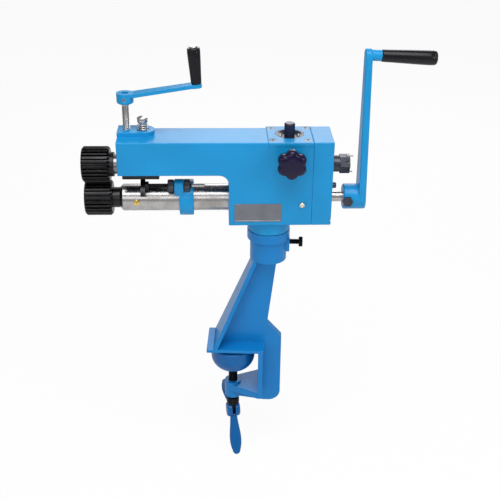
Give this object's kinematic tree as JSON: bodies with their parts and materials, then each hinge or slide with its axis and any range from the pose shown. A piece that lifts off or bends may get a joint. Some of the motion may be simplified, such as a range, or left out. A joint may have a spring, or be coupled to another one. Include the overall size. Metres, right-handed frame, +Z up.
{
  "type": "sheet metal crimper",
  "caption": "Bench-clamped hand-cranked machine that crimps and beads sheet metal between toothed rolls at the end of a deep throat.",
  "frame": {"origin": "on the underside of the clamp's table, at the axis of the clamp screw, where the bench top is gripped", "axes": "+X along the shafts from the rolls towards the crank, +Y away from the operator, +Z up"},
  "size_m": [0.4829, 0.1431, 0.6572],
  "materials": {
    "head_paint": "gloss",
    "plate_paint": "gloss",
    "stand_paint": "gloss",
    "pad_iron": "gloss",
    "black_steel": "satin",
    "bright_steel": "satin",
    "bronze": "satin",
    "brass": "polished",
    "chrome": "polished",
    "dark_plastic": "gloss",
    "label_metal": "satin"
  },
  "bodies": {
    "stand": {"bench_clamp_stand": "stand_paint"},
    "lock_slug": {"swivel_lock_slug": "bright_steel"},
    "lock_bolt": {"swivel_lock_bolt": "black_steel"},
    "clamp_pad": {"clamp_pad": "pad_iron"},
    "clamp_screw": {"clamp_screw": "black_steel", "clamp_handle_pin": "bright_steel"},
    "clamp_handle": {"clamp_handle": "stand_paint"},
    "head": {"arm_housing": "head_paint", "gear_case_cover": "head_paint", "cover_screws": "bright_steel", "top_plate": "plate_paint", "top_plate_screws": "bright_steel", "swivel_post": "stand_paint", "swivel_post_screws": "bright_steel", "lower_shaft_tube": "bright_steel", "tube_bush": "bronze", "lower_rear_bush": "bronze", "name_plate": "label_metal", "ball_oiler": "brass", "grease_nipple": "brass", "rear_oil_cup": "brass", "lifting_spring": "bright_steel"},
    "thrust_button": {"thrust_button": "bright_steel"},
    "pressure_screw": {"pressure_screw": "bright_steel", "pressure_crank": "head_paint", "pressure_set_screw": "black_steel", "pressure_grip_bolt": "bright_steel"},
    "pressure_grip": {"pressure_grip": "dark_plastic"},
    "upper_carrier": {"bearing_block": "black_steel", "upper_front_bush": "bronze", "lifting_bolt": "chrome", "upper_rear_bush": "bronze"},
    "shift_sleeve": {"shift_sleeve": "bright_steel"},
    "upper_shaft": {"upper_shaft": "bright_steel", "upper_roll": "black_steel", "upper_roll_screw": "bright_steel", "upper_gear": "bright_steel", "upper_gear_key": "bright_steel", "rear_spacer": "black_steel", "castle_nut": "black_steel", "split_pin": "bright_steel"},
    "lower_shaft": {"lower_shaft": "bright_steel", "lower_roll": "black_steel", "lower_roll_screw": "bright_steel", "lower_gear": "bright_steel", "lower_gear_key": "bright_steel", "lower_collar": "black_steel", "main_crank": "head_paint", "crank_set_screw": "black_steel", "main_grip_bolt": "bright_steel"},
    "main_grip": {"main_grip": "dark_plastic"},
    "eccentric_post": {"eccentric_post": "dark_plastic"},
    "knob_slug": {"knob_slug": "bright_steel"},
    "star_knob": {"star_knob": "dark_plastic"},
    "gauge_collar": {"gauge_collar": "head_paint", "gauge_clamp_screw": "bright_steel"},
    "gauge_nuts": {"gauge_nuts": "black_steel"},
    "stop_rod": {"stop_rod": "bright_steel", "gauge_stop": "bright_steel"}
  },
  "joints": [
    {"name": "lock_slug_slide", "type": "slide", "parent": "stand", "child": "lock_slug", "axis": [0.998, -0.0624, 0], "range_m": [0, 0.003]},
    {"name": "lock_bolt_turn", "type": "hinge", "parent": "lock_slug", "child": "lock_bolt", "pos_m": [0.0516, -0.00323, 0.176], "axis": [0.998, -0.0624, 0], "range_deg": [0, 720.5]},
    {"name": "clamp_pad_slide", "type": "slide", "parent": "stand", "child": "clamp_pad", "axis": [0, 0, 1], "range_m": [-0.022, 0.0035]},
    {"name": "clamp_screw_turn", "type": "hinge", "parent": "clamp_pad", "child": "clamp_screw", "pos_m": [0, 0, -0.08], "axis": [0, 0, 1], "range_deg": [-2640.5, 420.5]},
    {"name": "clamp_handle_tilt", "type": "hinge", "parent": "clamp_screw", "child": "clamp_handle", "pos_m": [0, 0, -0.1277], "axis": [-0.9865, -0.1637, 0], "range_deg": [0, 67]},
    {"name": "head_swivel", "type": "hinge", "parent": "stand", "child": "head", "pos_m": [0.0516, -0.00323, 0.2], "axis": [0, 0, 1], "continuous": true},
    {"name": "thrust_button_slide", "type": "slide", "parent": "head", "child": "thrust_button", "axis": [0, 0, 1], "range_m": [0, 0.00662]},
    {"name": "pressure_screw_turn", "type": "hinge", "parent": "thrust_button", "child": "pressure_screw", "pos_m": [-0.1459, -0.00323, 0.3685], "axis": [0, 0, 1], "range_deg": [0, 1590.5]},
    {"name": "pressure_grip_spin", "type": "hinge", "parent": "pressure_screw", "child": "pressure_grip", "pos_m": [-0.0495, -0.00323, 0.4125], "axis": [-0.0645, 0, 0.9979], "continuous": true},
    {"name": "upper_shaft_tilt", "type": "hinge", "parent": "head", "child": "upper_carrier", "pos_m": [0.1332, -0.00323, 0.2969], "axis": [0, 1, 0], "range_deg": [0, 1.35], "deforming": ["lifting_spring"]},
    {"name": "shift_sleeve_slide", "type": "slide", "parent": "upper_carrier", "child": "shift_sleeve", "axis": [1, 0, 0], "range_m": [-0.00153, 0.00153]},
    {"name": "upper_shaft_spin", "type": "hinge", "parent": "shift_sleeve", "child": "upper_shaft", "pos_m": [0.0516, -0.00323, 0.2969], "axis": [1, 0, 0], "continuous": true},
    {"name": "crank_turn", "type": "hinge", "parent": "head", "child": "lower_shaft", "pos_m": [0.0516, -0.00323, 0.2469], "axis": [1, 0, 0], "continuous": true},
    {"name": "main_grip_spin", "type": "hinge", "parent": "lower_shaft", "child": "main_grip", "pos_m": [0.1981, -0.00323, 0.4504], "axis": [0.999, 0, -0.0436], "continuous": true},
    {"name": "eccentric_turn", "type": "hinge", "parent": "head", "child": "eccentric_post", "pos_m": [0.078, -0.00323, 0.3285], "axis": [0, 0, 1], "range_deg": [-35, 35]},
    {"name": "knob_slug_slide", "type": "slide", "parent": "head", "child": "knob_slug", "axis": [0, -1, 0], "range_m": [0, 0.0025]},
    {"name": "star_knob_turn", "type": "hinge", "parent": "knob_slug", "child": "star_knob", "pos_m": [0.078, -0.05323, 0.3185], "axis": [0, -1, 0], "range_deg": [0, 720.5]},
    {"name": "gauge_collar_slide", "type": "slide", "parent": "head", "child": "gauge_collar", "axis": [1, 0, 0], "range_m": [-0.028, 0.022]},
    {"name": "gauge_nuts_turn", "type": "hinge", "parent": "gauge_collar", "child": "gauge_nuts", "pos_m": [-0.0734, -0.01956, 0.27111], "axis": [1, 0, 0], "range_deg": [-3600.5, 3600.5]},
    {"name": "stop_rod_slide", "type": "slide", "parent": "gauge_collar", "child": "stop_rod", "axis": [1, 0, 0], "range_m": [-0.01, 0.01]}
  ],
  "couplings": [
    {"joint": "lock_bolt_turn", "follows": "lock_slug_slide", "rad_per_m": 4188.8},
    {"joint": "clamp_screw_turn", "follows": "clamp_pad_slide", "rad_per_m": 2094.4},
    {"joint": "pressure_screw_turn", "follows": "thrust_button_slide", "rad_per_m": 4188.8},
    {"joint": "upper_shaft_tilt", "follows": "thrust_button_slide", "rad_per_m": 3.5605},
    {"joint": "eccentric_turn", "follows": "shift_sleeve_slide", "rad_per_m": 400},
    {"joint": "upper_shaft_spin", "follows": "crank_turn", "ratio": -1},
    {"joint": "star_knob_turn", "follows": "knob_slug_slide", "rad_per_m": 5026.5},
    {"joint": "gauge_nuts_turn", "follows": "stop_rod_slide", "rad_per_m": 6283.2}
  ]
}
